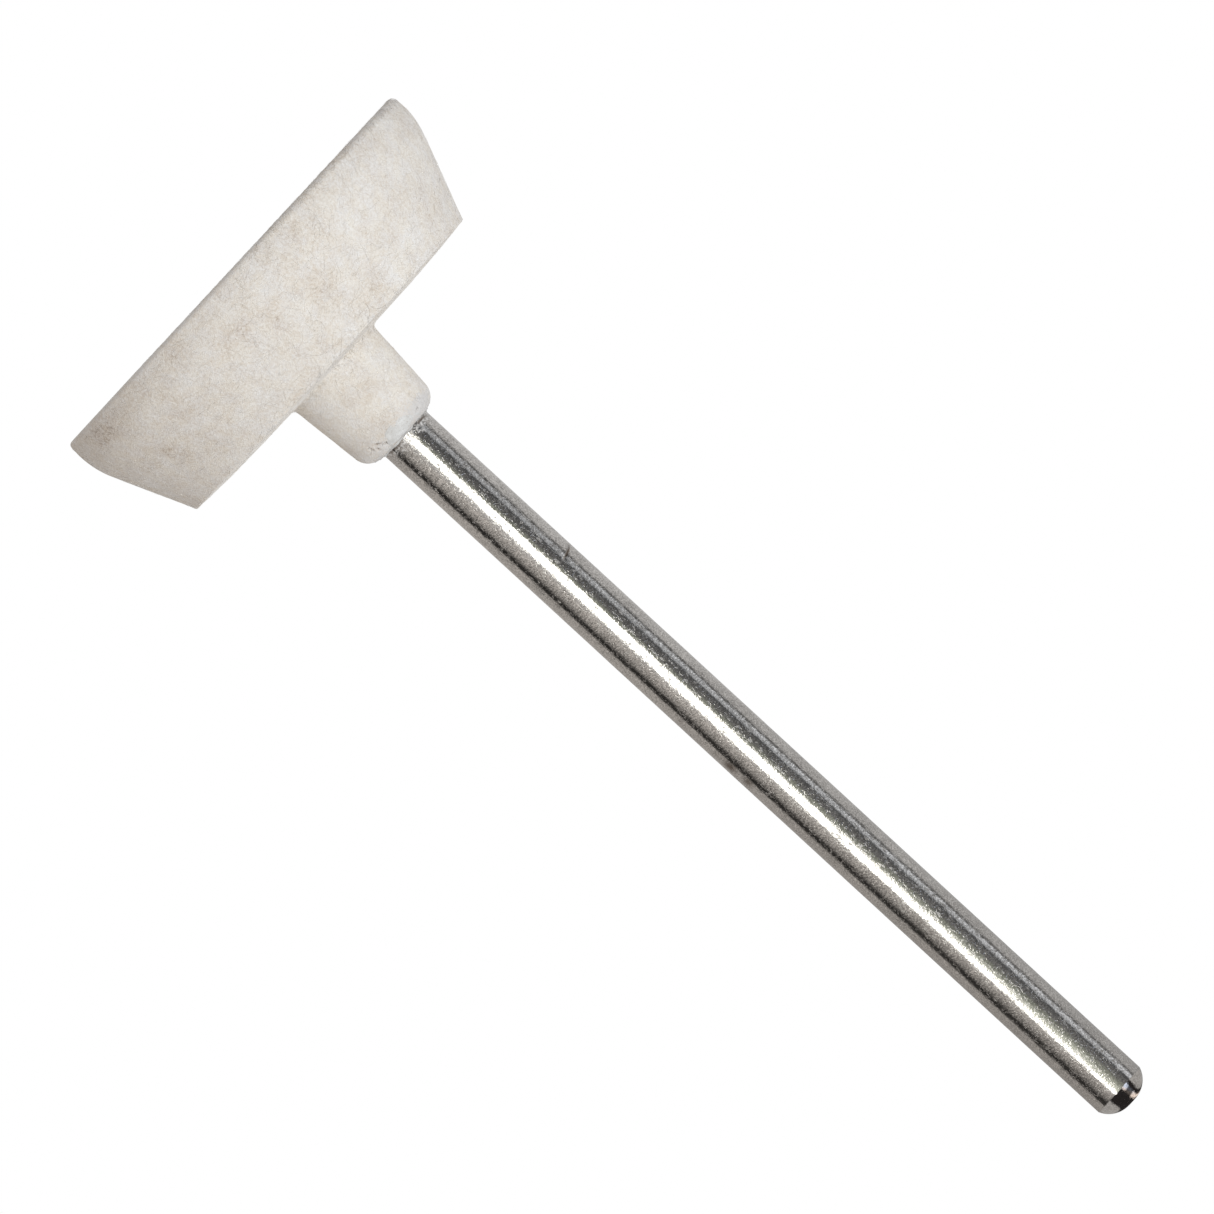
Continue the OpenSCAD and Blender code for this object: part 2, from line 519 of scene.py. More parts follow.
def head_outline(face_corner_r):
    """Half outline of the felt head: face, crown, flank, back, hub and blind bore. The last
    number of each stretch is how many steps it has."""
    crown_c = np.array([WHEEL_R - CROWN_R, CROWN_Z])
    rise = face_corner_r - CROWN_Z
    run = math.sqrt((CROWN_R - face_corner_r) ** 2 - rise**2)
    corner_c = crown_c + [run, rise]
    corner_angle = math.degrees(math.atan2(rise, run))
    flank, slope = math.radians(FLANK_ANGLE), math.radians(BACK_SLOPE)
    flank_out = np.array([math.cos(flank), math.sin(flank)])
    flank_start = crown_c + CROWN_R * flank_out
    slope_out = np.array([math.sin(slope), math.cos(slope)])
    back_flat = np.array([BACK_FLAT_R, WHEEL_T])
    reach = flank_out @ (flank_start - back_flat + BACK_CORNER_R * slope_out) - BACK_CORNER_R
    back_r = reach / (flank_out @ (slope_out - [0, 1]))
    back_c = back_flat - [0, back_r]
    back_corner_c = back_c + (back_r - BACK_CORNER_R) * slope_out
    flank_end = back_corner_c + BACK_CORNER_R * flank_out
    fillet_c = np.array([HUB_ROOT_R + HUB_FILLET_R, WHEEL_T + HUB_FILLET_R])
    lip = on_circle(HUB_END_C, HUB_END_R, LIP_ANGLE)
    return np.vstack([
        line((0, 0), (corner_c[0], 0), 28),
        arc(corner_c, face_corner_r, -90, corner_angle, 5),
        arc(crown_c, CROWN_R, corner_angle, FLANK_ANGLE, 16),
        line(flank_start, flank_end, 34),
        arc(back_corner_c, BACK_CORNER_R, FLANK_ANGLE, 90 - BACK_SLOPE, 4),
        arc(back_c, back_r, 90 - BACK_SLOPE, 90, 24),
        line(back_flat, (fillet_c[0], WHEEL_T), 7),
        arc(fillet_c, HUB_FILLET_R, 270, 180, 3),
        line((HUB_ROOT_R, fillet_c[1]), (HUB_TIP_R, HUB_END_C[1]), 36),
        arc(HUB_END_C, HUB_END_R, 0, LIP_ANGLE, 24),
        line(lip, (BORE_R, BORE_Z), 4),
        line((BORE_R, BORE_Z), (0, BORE_Z), 2),
        [(0, BORE_Z)],
    ])


# The skin lies a little under the true outline, because the fibres lie on it
FIBRE_ROOM = 0.034

# Creases in the hub's end: place (angle, height), size (around, along), depth and slant
CREASES = [
    ((-31, 8.74), (0.13, 0.05), 0.14, 0.6),
    ((-42, 8.70), (0.05, 0.11), 0.12, 0.2),
    ((-37, 8.90), (0.06, 0.09), 0.09, -0.3),
    ((-23, 8.98), (0.12, 0.05), 0.10, 0.3),
    ((36, 8.95), (0.13, 0.05), 0.06, -0.4),
    ((48, 8.80), (0.05, 0.10), 0.05, 0.0),
    ((140, 8.75), (0.14, 0.07), 0.08, 0.4),
    ((215, 8.85), (0.12, 0.06), 0.07, -0.2),
]

# The felt's unevenness: strength in mm, period in mm and seed
FELT_RELIEF = ((0.014, 2.8, 3.1), (0.006, 0.9, 7.7), (0.003, 0.3, 1.9))
# The working face is worn flat, and the unevenness grows over these heights
FACE_WORN = (-0.1, 0.4)


def felt_relief(points):
    """How far the pressed felt stands in or out of its true outline, in mm."""
    relief = (layered(points, FELT_RELIEF) - FIBRE_ROOM) * smooth(*FACE_WORN, points[..., 2])
    for place, size, depth, slant in CREASES:
        relief -= depth * mark_share(points, place, size, slant)
    return relief


# Faint tan stains, and paler patches, of which the broad one on the hub's lower side is painted
# light: place (angle, height), size (around, along), strength
STAINS_AND_PAINTED_LIGHT = [
    ((-60, 0.65), (0.6, 0.30), 0.32),
    ((-53, 0.8), (1.3, 0.6), 0.14),
    ((-67, 4.0), (0.8, 0.5), 0.18),
    ((-51, 3.0), (0.9, 0.6), 0.12),
    ((-11, 2.0), (0.9, 0.5), 0.12),
    ((13, 3.0), (0.8, 0.8), 0.13),
    ((38, 3.75), (0.7, 0.6), 0.13),
    ((0, 1.4), (0.8, 0.5), -0.10),
    ((43, 4.2), (0.7, 0.4), -0.12),
    # Painted light: a broad paler patch that lightens the hub's lower, shaded side
    ((-45, 7.0), (0.9, 1.3), -0.30),
    ((3, 7.7), (0.5, 0.5), -0.28),
    ((28, 8.0), (0.5, 0.5), -0.22),
    ((118, 2.4), (1.3, 0.8), 0.20),
    ((205, 3.6), (1.0, 0.9), 0.18),
]


# The tone of plain felt, and its broad and small blotches: strength, period in mm and seed
PLAIN_TONE = 0.56
PATCHES = ((0.13, 2.4, 11.3),)
BLOTCHES = ((0.16, 0.9, 5.3), (0.14, 0.4, 9.1))
# The darkest tone outside the creases, and how fast the painted shade in a crease darkens the tone
# with its depth in mm
TAN_TONE = 0.28
CREASE_SHADE = 5
# How much darker the tone is near the working face, and the heights over which that comes in
FRONT_DARKENING = 0.05
FRONT_HEIGHTS = (1.8, 0.4)
# How much stronger the mottling is on the hub than on the wheel
HUB_MOTTLE = 1.2


def felt_tone(points):
    """0 where the felt is tan, 1 where it is whitest. Creases are darkened with painted shade, and
    one patch on the hub's lower side is lightened with painted light.
    """
    mottle = layered(points, PATCHES) + layered(points, BLOTCHES)
    tone = PLAIN_TONE + mottle * np.where(points[..., 2] > WHEEL_T, HUB_MOTTLE, 1)
    tone -= FRONT_DARKENING * smooth(*FRONT_HEIGHTS, points[..., 2])
    # Stains darken the tone and paler patches lighten it, one of them as painted light
    for place, size, strength in STAINS_AND_PAINTED_LIGHT:
        tone -= strength * mark_share(points, place, size)
    tone = np.maximum(tone, TAN_TONE)
    # Painted shade: each crease darkens the tone with its depth
    for place, size, depth, slant in CREASES:
        tone -= CREASE_SHADE * depth * mark_share(points, place, size, slant)
    return tone


# The greyest part of the hub's end: place (angle, height), size (around, along)
GREY_END = ((42, 8.9), (0.8, 0.35))
GREY_END_WEAR = 0.6
# How much greyer the felt is painted on the wheel's front and back edges, as painted shade, and
# round the hub's end, as rubbed felt and painted shade, and the heights over which each comes in
FRONT_SHADE, FRONT_EDGE = 0.22, (0.40, 0.0)
BACK_SHADE, BACK_EDGE = 0.16, (WHEEL_T - 0.55, WHEEL_T - 0.1)
TIP_RUB_AND_SHADE, TIP_EDGE = 0.5, (HEAD_H - 1.1, HEAD_H - 0.3)
# Radii over which the wheel's rim comes in
RIM = (0.45 * WHEEL_R, 0.75 * WHEEL_R)


def felt_rub_and_shade(points):
    """How grey the felt is painted: 0 nearly everywhere, more along the wheel's two edges, where it
    is painted shade, and round the hub's end, where it is rubbed felt and painted shade."""
    radius, height = np.hypot(points[..., 0], points[..., 1]), points[..., 2]
    rim = smooth(*RIM, radius)
    front = smooth(*FRONT_EDGE, height) * rim
    back = smooth(*BACK_EDGE, height) * rim
    tip = smooth(*TIP_EDGE, height)
    # Painted shade on the wheel's edges, and rubbed felt with painted shade round the hub's end
    amount = np.maximum(np.maximum(FRONT_SHADE * front, BACK_SHADE * back), TIP_RUB_AND_SHADE * tip)
    return amount + GREY_END_WEAR * mark_share(points, *GREY_END)


# How far one side of the working face is worn back, and the height up to which that is taken up
FACE_SKEW = 0.08
SKEW_HEIGHT = 1.6
# The head leans on its mandrel, in mm for each mm, about a point near the hub's root
LEAN_HEIGHT = 4.82
LEAN = 0.0128


def settle(grid):
    """Sets the head on its mandrel as it was glued: leaning a little, and with a working face
    that isn't quite square to the shank."""
    share = np.clip(1 - grid[..., 2] / SKEW_HEIGHT, 0, 1)
    grid[..., 0] += LEAN * (grid[..., 2] - LEAN_HEIGHT)
    grid[..., 2] += share * FACE_SKEW * 0.5 * (1 - grid[..., 0] / WHEEL_R)
    return grid


# The face's corner is rounder on one side than on the other, by this much either way
CORNER_UNEVEN = 0.1
# A point this little outside the bore's wall still counts as inside it
BORE_MARGIN = 0.02


def felt_head(material):
    """The wheel and hub, one closed mesh with the felt's uneven skin."""
    azimuth = np.arange(HEAD_COLUMNS) * 2 * math.pi / HEAD_COLUMNS
    corner_r = FACE_CORNER_R + CORNER_UNEVEN * np.sin(azimuth)
    outlines = np.array([head_outline(r) for r in corner_r])
    grid = turn(outlines, HEAD_COLUMNS)
    in_bore = np.hypot(grid[..., 0], grid[..., 1]) < BORE_R + BORE_MARGIN
    inside = in_bore & (grid[..., 2] > SHANK_TIP - 2 * GLUE_FLOOR)
    relief = np.where(inside, 0, felt_relief(grid))
    tone, edge = felt_tone(grid), felt_rub_and_shade(grid)
    grid = settle(grid + relief[..., None] * normals_of(grid))
    made = skin("felt_wheel_and_hub", grid, material)
    paint(made, "tone", grid_values(tone))
    paint(made, "edge", grid_values(edge))
    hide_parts("felt_head")
    return made


FIBRE_POINTS = 5
FIBRE_SIDES = 3
# Places along the outline that a fibre's middle is drawn from
FIBRE_PLACES = 400
# How much lower than wide a pressed fibre is
FIBRE_FLAT = 0.45
# The most that a fibre is raised where it crosses a tight corner
FIBRE_DIP = 0.016
# Sizes in mm: length, half width, spread of the bow, and height over the skin
FIBRE_LENGTHS = (0.3, 0.9)
FIBRE_THICK = (0.006, 0.010)
FIBRE_BOW = 0.14
FIBRE_LIFTS = (-0.005, 0.004)
# The share of fibres that have a loose end, and how high it stands
LOOSE_SHARE = 0.03
LOOSE_LIFTS = (0.01, 0.04)
# How much paler than the felt a fibre is: mean, spread and lowest
FIBRE_PALER = (0.05, 0.10)
FIBRE_DARKEST = -0.09
# How much a fibre thins out towards its ends
FIBRE_TAPER = 0.7
# Fibres keep this far from the outline's ends, and bend round the axis at least this far off
END_GAP = 0.01
LEAST_BEND_R = 0.2


def felt_fibres(name, count, lowest, highest, seed, material):
    """Matted wool fibres on part of the felt, between two shares of the outline's length.
    Most lie flat and a few have a loose end."""
    rng = np.random.default_rng(seed)
    outline = head_outline(FACE_CORNER_R)[:-BORE_ROWS]
    step = np.diff(outline, axis=0)
    length = np.concatenate([[0], np.cumsum(np.hypot(*step.T))])
    slope = np.gradient(outline, axis=0)
    out = np.stack([slope[:, 1], -slope[:, 0]], axis=1)
    out /= np.linalg.norm(out, axis=1, keepdims=True)

    fine = np.linspace(lowest, highest, FIBRE_PLACES) * length[-1]
    weight = np.cumsum(np.interp(fine, length, outline[:, 0]))
    start = np.interp(rng.random(count) * weight[-1], weight, fine)
    azimuth = rng.random(count) * 2 * math.pi
    heading = rng.random(count) * 2 * math.pi
    reach = rng.uniform(*FIBRE_LENGTHS, count)
    bend = rng.normal(0, FIBRE_BOW, count)
    lift = rng.uniform(*FIBRE_LIFTS, count)
    loose = np.where(rng.random(count) < LOOSE_SHARE, rng.uniform(*LOOSE_LIFTS, count), 0)
    thick = rng.uniform(*FIBRE_THICK, count)
    jitter = np.maximum(rng.normal(*FIBRE_PALER, count), FIBRE_DARKEST)

    share = np.linspace(-0.5, 0.5, FIBRE_POINTS)[None, :]
    run = share * reach[:, None]
    bow = bend[:, None] * (1 - 4 * share**2)
    s = start[:, None] + run * np.cos(heading)[:, None] - bow * np.sin(heading)[:, None]
    s = np.clip(s, END_GAP, length[-1] - END_GAP)
    radius = np.maximum(np.interp(s, length, outline[:, 0]), LEAST_BEND_R)
    sideways = run * np.sin(heading)[:, None] + bow * np.cos(heading)[:, None]
    angle = azimuth[:, None] + sideways / radius
    height = np.interp(s, length, outline[:, 1])
    out_r = np.interp(s, length, out[:, 0])
    out_z = np.interp(s, length, out[:, 1])
    outward = np.stack([-out_r * np.sin(angle), -out_r * np.cos(angle), out_z], axis=-1)
    base = np.stack([-radius * np.sin(angle), -radius * np.cos(angle), height], axis=-1)
    rise = lift[:, None] + loose[:, None] * (share + 0.5) ** 2
    # Straight between its points, a fibre would dip into a tight corner by this much
    turned = np.unwrap(np.arctan2(out[:, 1], out[:, 0]))
    curve = np.interp(s, length, np.abs(np.gradient(turned, length)))
    stretch = reach[:, None] * np.cos(heading)[:, None] / (FIBRE_POINTS - 1)
    rise += np.minimum(stretch**2 * curve / 8, FIBRE_DIP)
    centre = settle(base + (felt_relief(base) + rise)[..., None] * outward)
    taper = thick[:, None] * (1 - FIBRE_TAPER * (2 * share) ** 2)
    centre[..., 2] = np.maximum(centre[..., 2], taper)

    along = np.gradient(centre, axis=1)
    along /= np.linalg.norm(along, axis=-1, keepdims=True)
    side = np.cross(along, outward)
    side /= np.linalg.norm(side, axis=-1, keepdims=True)
    up = np.cross(side, along)
    rings = []
    for k in range(FIBRE_SIDES):
        a = 2 * math.pi * k / FIBRE_SIDES + math.pi / 2
        across = math.cos(a) * side + FIBRE_FLAT * math.sin(a) * up
        rings.append(centre + taper[..., None] * across)
    points = np.stack(rings, axis=2).reshape(-1, 3) * MM

    index = np.arange(count * FIBRE_POINTS * FIBRE_SIDES)
    index = index.reshape(count, FIBRE_POINTS, FIBRE_SIDES)
    beside = np.roll(index, -1, axis=2)
    walls = np.stack([index[:, :-1], beside[:, :-1], beside[:, 1:], index[:, 1:]], axis=-1)
    faces = walls.reshape(-1, 4).tolist()
    faces += index[:, 0, ::-1].tolist()
    faces += index[:, -1].tolist()

    made = piece(name, points, faces, material)
    tone = felt_tone(base) + jitter[:, None]
    paint(made, "tone", np.repeat(tone, FIBRE_SIDES))
    paint(made, "edge", np.repeat(felt_rub_and_shade(base), FIBRE_SIDES))
    return made


# ---------------------------------------------------------------- mandrel
# Marks: place (angle, height), size (around, along), slant, depth and how dark it is. The first two
# are painted shade: dark lines on the shank at the hub's mouth
MARKS = [
    ((44, 9.31), (0.36, 0.05), 0.05, 0.0, 1.3),
    ((-38, 9.34), (0.30, 0.06), 0.1, 0.0, 1.0),
    ((47, 16.92), (0.36, 0.045), -0.20, 0.030, 1.4),
    ((30, 17.05), (0.05, 0.07), 0.0, 0.015, 0.0),
    ((14, 22.45), (0.07, 0.06), 0.3, 0.014, 0.0),
    ((-57, 27.10), (0.26, 0.30), 0.0, 0.003, 1.0),
    ((-55, 28.02), (0.22, 0.20), 0.0, 0.003, 0.9),
    ((-58, 26.40), (0.20, 0.15), 0.0, 0.000, 0.35),
    ((-58, 24.50), (0.08, 0.08), 0.0, 0.000, 0.6),
    ((-21, 36.55), (0.11, 0.04), -0.9, 0.0, 0.6),
    ((17, 41.95), (0.10, 0.12), 0.0, 0.0, 0.35),
    ((30, 36.70), (0.16, 0.14), 0.2, 0.006, 0.3),
    ((-20, 11.40), (0.08, 0.06), 0.0, 0.008, 0.2),
    ((-35, 33.20), (0.05, 0.12), 0.0, 0.007, 0.3),
    ((150, 19.00), (0.12, 0.06), 0.3, 0.014, 0.4),
    ((200, 31.50), (0.10, 0.10), 0.0, 0.010, 0.3),
    ((262, 14.20), (0.18, 0.05), 0.4, 0.014, 0.6),
]


# Heights between which the plating has its deepest nick
NICKED = (16.4, 17.5)
# The plating's unevenness: strength in mm, period in mm and seed
PLATING_RELIEF = ((0.0017, 0.5, 2.3), (0.0007, 0.2, 8.3))


def mandrel_outline():
    """Half outline of the mandrel: neck, shoulder, plain shank and domed end. The last number
    of each stretch is how many steps it has."""
    dome_inset = DOME_R * math.cos(math.radians(DOME_ANGLE))
    dome_c = np.array([SHANK_R - dome_inset, SHANK_END - DOME_R])
    plain_z = HEAD_H + BEAD_H
    dome_start = on_circle(dome_c, DOME_R, DOME_ANGLE)
    return np.vstack([
        line((0, SHANK_TIP), (NECK_R - NECK_CHAMFER, SHANK_TIP), 2),
        line((NECK_R - NECK_CHAMFER, SHANK_TIP), (NECK_R, SHANK_TIP + NECK_CHAMFER), 2),
        line((NECK_R, SHANK_TIP + NECK_CHAMFER), (NECK_R, SHOULDER_Z), 8),
        line((NECK_R, SHOULDER_Z), (SHANK_R, SHOULDER_TOP), 2),
        line((SHANK_R, SHOULDER_TOP), (SHANK_R, plain_z), 30),
        line((SHANK_R, plain_z), (SHANK_R, NICKED[0]), 85),
        line((SHANK_R, NICKED[0]), (SHANK_R, NICKED[1]), 55),
        line((SHANK_R, NICKED[1]), dome_start, 360),
        arc(dome_c, DOME_R, DOME_ANGLE, 90, 30),
        line((dome_c[0], SHANK_END), (0, SHANK_END), 3),
        [(0, SHANK_END)],
    ])


def mandrel(material):
    """The mandrel, with its nicks and a surface that isn't quite even."""
    grid = turn(mandrel_outline(), SHANK_COLUMNS)
    relief = layered(grid, PLATING_RELIEF)
    soil_and_shade = np.zeros(grid.shape[:2])
    # Marks dent the plating and darken it with dirt, and with painted shade at the hub's mouth
    for place, size, slant, depth, darkness in MARKS:
        share = mark_share(grid, place, size, slant)
        relief -= depth * share
        soil_and_shade = np.maximum(soil_and_shade, darkness * share)
    made = skin("mandrel", grid + relief[..., None] * normals_of(grid), material)
    paint(made, "soil_and_shade", grid_values(soil_and_shade))
    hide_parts("shank")
    return made


# ---------------------------------------------------------------- adhesive
# The smear's edge, as an angle on the circle that rounds the hub's end: where it is narrow, how
# far it wanders, and how much further the broad patch reaches
SMEAR_EDGE = 62
SMEAR_WANDER = 10
PATCH_REACH = 50
# The patch and the open groove, both round the shank: middle and half width in degrees
PATCH_AT, PATCH_WIDTH = 2, 29
GROOVE_AT, GROOVE_WIDTH = 48, 24
# How far the patch's sides wander, in degrees
PATCH_WANDER = 12
# The smear lies this far under the felt's true outline, and its underside this far
SMEAR_SUNK = 0.042
SMEAR_UNDER = 0.08
# How much thicker the patch is, and how steep its edges are, from 1 for a lens towards 0
PATCH_THICK = 0.040
PATCH_EDGE = 0.6
# How deep the groove is at the bore, and how much lower the collar round the shank is there
GROOVE_DEPTH = 0.10
GROOVE_DROP = 0.22
# The collar round the shank: how far it stands over the hub's end, and how uneven that is
COLLAR_RISE = 0.02
COLLAR_UNEVEN = 0.04
# Distances from the shank's surface of the collar's foot, its top, its lip, and its root, which
# is in the mandrel
COLLAR_FOOT, COLLAR_TOP, COLLAR_LIP, COLLAR_ROOT = 0.07, 0.02, 0.004, -0.03
# Noises for the smear's edge and the collar's height, and for the patch's sides: period in mm
# and seed
COLLAR_NOISE = (0.45, 4.4)
PATCH_NOISE = (0.25, 7.9)
# The adhesive's unevenness: strength in mm, period in mm and seed
GLUE_RELIEF = ((0.030, 0.3, 6.6), (0.020, 0.12, 2.2))
# Radii over which that, and the head's lean, come in
UNEVEN_FROM = (SHANK_R + 0.01, SHANK_R + 0.1)
LEAN_FROM = (SHANK_R + 0.02, SHANK_R + 0.15)
# The sleeve stays this far off the bore's wall, and goes this far into the mandrel's neck
GLUE_GAP = 0.01
# The sleeve's hollow ends here, so the mandrel's tip is sunk in the adhesive's floor
HOLLOW_Z = SHANK_TIP + 0.1


def plateau(x):
    """1 for x near 0, and 0 for x beyond about 1 either way."""
    return np.exp(-(x**4))


def glue(material):
    """The adhesive: a sleeve in the bore, and a thin uneven smear over the hub's end."""
    azimuth = np.arange(GLUE_COLUMNS) * 2 * math.pi / GLUE_COLUMNS
    degrees = (np.degrees(azimuth) + 180) % 360 - 180
    circle = np.stack([np.sin(azimuth), np.cos(azimuth), 0 * azimuth], axis=1)
    uneven = wander(circle * SHANK_R, *COLLAR_NOISE)
    # The smear is broad at the camera's side, and a groove is open beside it
    ragged = wander(circle * SHANK_R, *PATCH_NOISE)
    patch = plateau((degrees - PATCH_AT + PATCH_WANDER * ragged) / PATCH_WIDTH)
    groove = plateau((degrees - GROOVE_AT) / GROOVE_WIDTH)
    share = np.linspace(0, 1, 26)
    sleeve_r = BORE_R - GLUE_GAP
    core_r = NECK_R - GLUE_GAP
    foot_r, top_r = SHANK_R + COLLAR_FOOT, SHANK_R + COLLAR_TOP
    lip_r, root_r = SHANK_R + COLLAR_LIP, SHANK_R + COLLAR_ROOT
    outlines = []
    for i in range(GLUE_COLUMNS):
        reach = SMEAR_EDGE + SMEAR_WANDER * uneven[i] - PATCH_REACH * patch[i]
        under = arc(HUB_END_C, HUB_END_R - SMEAR_UNDER, LIP_ANGLE, reach, 12)
        angles = np.radians(reach + (LIP_ANGLE - reach) * share)
        thick = PATCH_THICK * patch[i] * np.sin(math.pi * share) ** PATCH_EDGE - SMEAR_SUNK
        spokes = np.stack([np.cos(angles), np.sin(angles)], axis=1)
        over = HUB_END_C + (HUB_END_R + thick)[:, None] * spokes
        over[:, 1] -= GROOVE_DEPTH * groove[i] * share**2
        rise = COLLAR_RISE + COLLAR_UNEVEN * uneven[i] - GROOVE_DROP * groove[i]
        outlines.append(np.vstack([
            line((0, BORE_Z), (sleeve_r, BORE_Z), 3),
            line((sleeve_r, BORE_Z), (sleeve_r, HEAD_H - 0.2), 6),
            under,
            over,
            line((foot_r, HEAD_H + 0.2 * rise), (top_r, HEAD_H + rise), 3),
            line((lip_r, HEAD_H + rise + 0.03), (root_r, SHOULDER_TOP), 3),
            line((core_r, SHOULDER_Z), (core_r, HOLLOW_Z), 3),
            line((core_r, HOLLOW_Z), (0, HOLLOW_Z), 2),
            [(0, HOLLOW_Z)],
        ]))
    grid = turn(np.array(outlines), GLUE_COLUMNS)
    radius = np.hypot(grid[..., 0], grid[..., 1])
    shown = smooth(*UNEVEN_FROM, radius) * (grid[..., 2] > HUB_END_C[1])
    relief = layered(grid, GLUE_RELIEF)
    grid = grid + (shown * relief)[..., None] * normals_of(grid)
    # The smear leans with the head, and the collar stays on the mandrel
    leaning = settle(grid.copy())
    grid += smooth(*LEAN_FROM, radius)[..., None] * (leaning - grid)
    made = skin("adhesive_collar", grid, material)
    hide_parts("glue_bond")
    return made


# ---------------------------------------------------------------- studio
def towards(azimuth, elevation):
    """The direction at an angle round the shank from the camera's side, and an elevation."""
    a, e = math.radians(azimuth), math.radians(elevation)
    return Vector((-math.sin(a) * math.cos(e), -math.cos(a) * math.cos(e), math.sin(e)))


# What the plating mirrors round the shank: the angle from the camera's side, the brightness low
# down and a little higher up, and the tint
WARM = (1.05, 0.99, 0.93)
PLAIN = (1.0, 0.985, 0.97)
GREEN = (0.98, 1.01, 0.87)
BLUE = (0.97, 1.0, 1.04)
ROOM_BANDS = [
    (-180, 0.45, 0.29, WARM), (-98, 0.46, 0.31, WARM), (-91, 0.03, 0.06, WARM),
    (-77, 0.02, 0.03, WARM), (-70, 0.17, 0.05, WARM), (-63, 0.38, 0.11, WARM),
    (-54, 0.48, 0.18, WARM), (-44, 0.58, 0.28, WARM), (-34, 0.60, 0.38, WARM),
    (-16, 0.58, 0.58, PLAIN), (-8, 0.88, 0.84, GREEN), (0, 0.73, 0.66, GREEN),
    (8, 0.56, 0.45, GREEN), (15, 0.39, 0.28, GREEN), (23, 0.28, 0.23, GREEN),
    (30, 0.12, 0.21, PLAIN), (40, 0.09, 0.20, PLAIN), (57, 0.09, 0.09, BLUE),
    (61, 0.40, 0.56, BLUE), (76, 0.32, 0.98, BLUE), (80, 0.12, 0.17, PLAIN),
    (88, 0.13, 0.17, PLAIN), (93, 0.58, 0.36, PLAIN), (105, 0.62, 0.38, PLAIN),
    (180, 0.62, 0.37, PLAIN),
]
# Heights of the view, as the sine of its elevation, between which the low bands give way to the
# higher ones, and the walls to the ceiling
BAND_HEIGHTS = (0.012, 0.05)
CEILING_FROM = (0.20, 0.32)
CEILING_GREY = (0.43, 0.415, 0.40)
CEILING_DARK = (0.025, 0.022, 0.022)
# The ceiling is dark up to about this far from its middle line, which is wider behind
CEILING_SIDE = (0.55, 0.61)
CEILING_WIDENS = 0.42
# The lamp's two edges: how far across they are, and how much further for each step nearer
LAMP_INNER = (0.12, 0.07)
LAMP_OUTER = (0.37, 0.30)
LAMP_SOFT = 0.02
# The part of the lamp that is off and its softness, the glow there, and what is added elsewhere
LAMP_OFF = (-0.2, 0.48, 0.1)
LAMP_DIM = 0.12
LAMP_LIT = 0.95
LAMP_WARM = (1.1, 0.93, 0.82)
LAMP_COOL = (0.85, 0.95, 1.15)

# The room's even light is cooler from -X, and warmer and weaker from +X
AMBIENT_COOL = (0.596, 0.612, 0.644)
AMBIENT_WARM = (0.496, 0.468, 0.446)
AMBIENT_TURN = (-0.2, 0.9)
WHITE = (1.0, 1.0, 1.0)


def between(tree, value, low, high, soft):
    """1 where value is between low and high, with soft ends."""
    above = spread(tree, maths(tree, "SUBTRACT", value, low), -soft, soft)
    below = spread(tree, maths(tree, "SUBTRACT", high, value), -soft, soft)
    return maths(tree, "MULTIPLY", above, below)


def ceiling(tree, x, y):
    """What the domed end mirrors: a dark ceiling with a slanted lamp, and grey walls round it."""
    side = maths(tree, "MULTIPLY_ADD", y, CEILING_WIDENS, maths(tree, "ABSOLUTE", x))
    colour = mix(tree, spread(tree, side, *CEILING_SIDE), CEILING_DARK, CEILING_GREY)
    near = maths(tree, "MULTIPLY", y, -1)
    across = maths(tree, "MULTIPLY", x, -1)
    inner, outer = (
        maths(tree, "MULTIPLY_ADD", near, slant, start) for start, slant in (LAMP_INNER, LAMP_OUTER)
    )
    on_lamp = between(tree, across, inner, outer, LAMP_SOFT)
    lit = maths(tree, "SUBTRACT", 1.0, between(tree, near, *LAMP_OFF))
    lamp = mix(tree, spread(tree, across, 0.15, 0.4), LAMP_WARM, LAMP_COOL)
    lamp = dim(tree, lamp, maths(tree, "MULTIPLY_ADD", lit, LAMP_LIT, LAMP_DIM))
    return mix(tree, on_lamp, colour, lamp)


def wall_stops(level):
    """The room's panels as a ramp's stops, at level 1, low down, or 2, a little higher up."""
    return [((band[0] + 180) / 360, [band[level] * c for c in band[3]]) for band in ROOM_BANDS]


def room():
    """A white backdrop, even ambient light, and a room of grey panels for the plating to mirror."""
    world = bpy.data.worlds.new("room")
    bpy.context.scene.world = world
    world.use_nodes = True
    world.cycles.sampling_method = "NONE"
    tree = world.node_tree
    where = tree.nodes.new("ShaderNodeTexCoord")
    place = tree.nodes.new("ShaderNodeSeparateXYZ")
    tree.links.new(where.outputs["Generated"], place.inputs[0])
    x, y, z = place.outputs
    angle = maths(tree, "ARCTAN2", maths(tree, "MULTIPLY", x, -1), maths(tree, "MULTIPLY", y, -1))
    share = maths(tree, "MULTIPLY_ADD", angle, 0.5 / math.pi, 0.5)
    walls = [ramp(tree, share, wall_stops(level)) for level in (1, 2)]
    wall = mix(tree, spread(tree, z, *BAND_HEIGHTS), *walls)
    mirrored = mix(tree, spread(tree, z, *CEILING_FROM), wall, ceiling(tree, x, y))

    path = tree.nodes.new("ShaderNodeLightPath")
    even = mix(tree, spread(tree, x, *AMBIENT_TURN), AMBIENT_COOL, AMBIENT_WARM)
    seen = mix(tree, path.outputs["Is Glossy Ray"], even, mirrored)
    seen = mix(tree, path.outputs["Is Camera Ray"], seen, WHITE)
    tree.links.new(seen, tree.nodes["Background"].inputs["Color"])


# The key light: its angle round the shank and elevation, distance and width in metres, power in
# watts and colour
KEY_AT = (21, 32)
KEY_DISTANCE = 0.6
KEY_WIDTH = 0.35
KEY_POWER = 1.88
KEY_COLOUR = (0.948, 0.97, 0.972)


